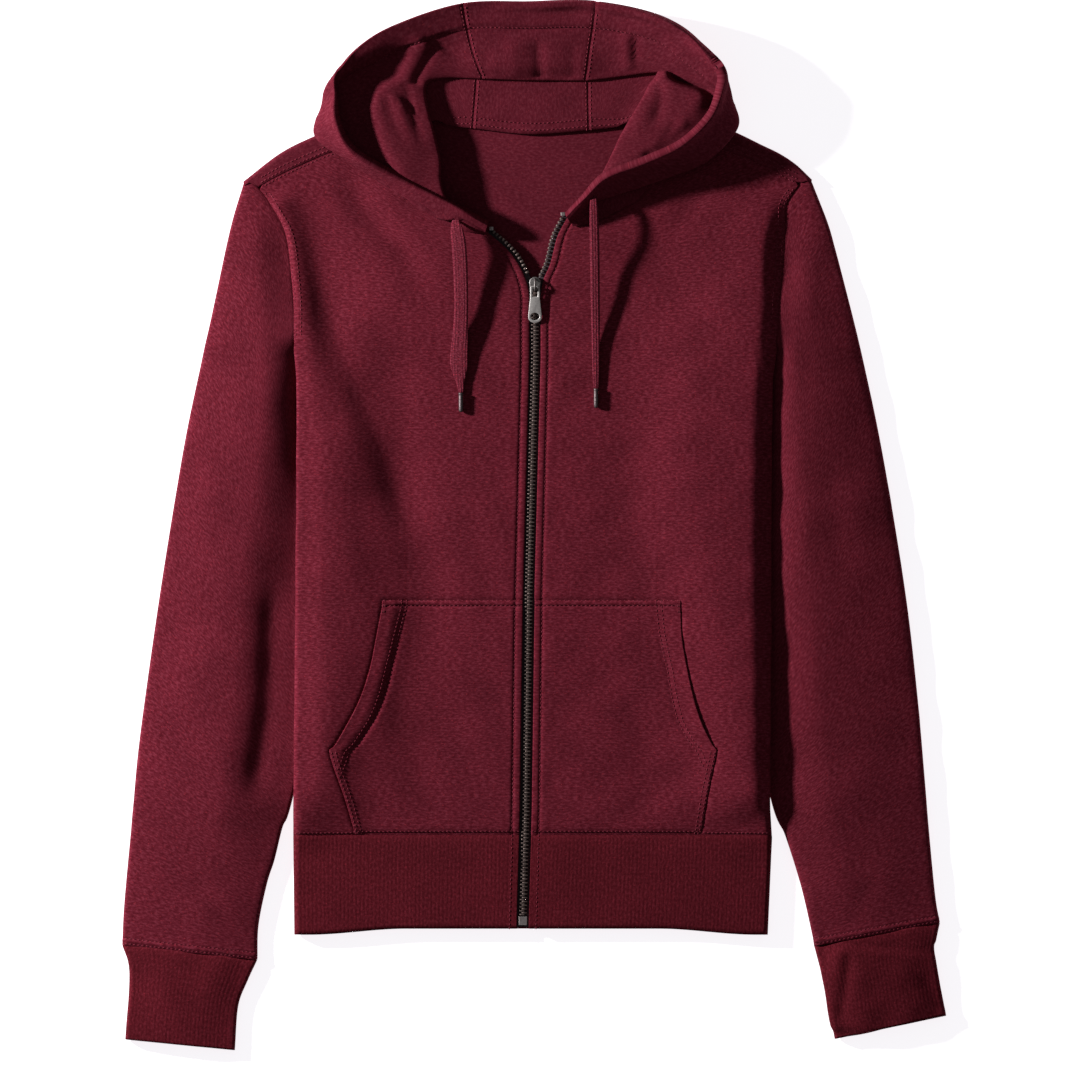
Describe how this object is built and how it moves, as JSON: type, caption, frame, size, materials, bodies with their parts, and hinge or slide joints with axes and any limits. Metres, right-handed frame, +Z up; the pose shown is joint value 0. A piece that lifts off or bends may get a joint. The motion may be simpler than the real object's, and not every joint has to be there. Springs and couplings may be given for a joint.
{
  "type": "zip up hoodie",
  "caption": "Full-zip hooded sweatshirt laid flat, with front pockets, rib cuffs and waistband, a drawcord and a zip pull that swings.",
  "frame": {"origin": "middle of the base of the bounding box, on the surface the garment lies on", "axes": "+Z up from the surface, out of the garment's front; +Y from the hem towards the hood; +X towards the wearer's left sleeve, on the right as it is seen from above"},
  "size_m": [0.6845, 0.872, 0.0417],
  "materials": {
    "fleece": "maroon heather fleece-back knit",
    "rib_knit": "maroon rib knit",
    "zip_tape": "black woven tape",
    "cord_knit": "maroon flat knitted cord",
    "zip_teeth": "dark oxidised brass teeth",
    "slider_metal": "gunmetal plated",
    "bright_metal": "nickel plated"
  },
  "bodies": {
    "hoodie": {"back": "fleece", "front_left": "fleece", "front_right": "fleece", "waistband": "rib_knit", "sleeve_left": "fleece", "sleeve_right": "fleece", "cuff_left": "rib_knit", "cuff_right": "rib_knit", "hood_left": "fleece", "hood_centre": "fleece", "hood_right": "fleece", "pocket_left": "fleece", "pocket_right": "fleece", "zip_tape_left": "zip_tape", "zip_tape_right": "zip_tape", "zip_chain": "zip_teeth", "zip_chain_open_left": "zip_teeth", "zip_chain_open_right": "zip_teeth", "zip_top_stop_left": "bright_metal", "zip_top_stop_right": "bright_metal", "zip_bottom_stop": "zip_teeth", "zip_slider": "slider_metal", "drawcord_left": "cord_knit", "drawcord_right": "cord_knit", "cord_tip_left": "bright_metal", "cord_tip_right": "bright_metal"},
    "pull": {"zip_pull": "slider_metal"}
  },
  "joints": [
    {"name": "pull_swing", "type": "hinge", "parent": "hoodie", "child": "pull", "pos_m": [0.0008, 0.1982, 0.0125], "axis": [-1, 0, 0], "range_deg": [0, 150]}
  ]
}
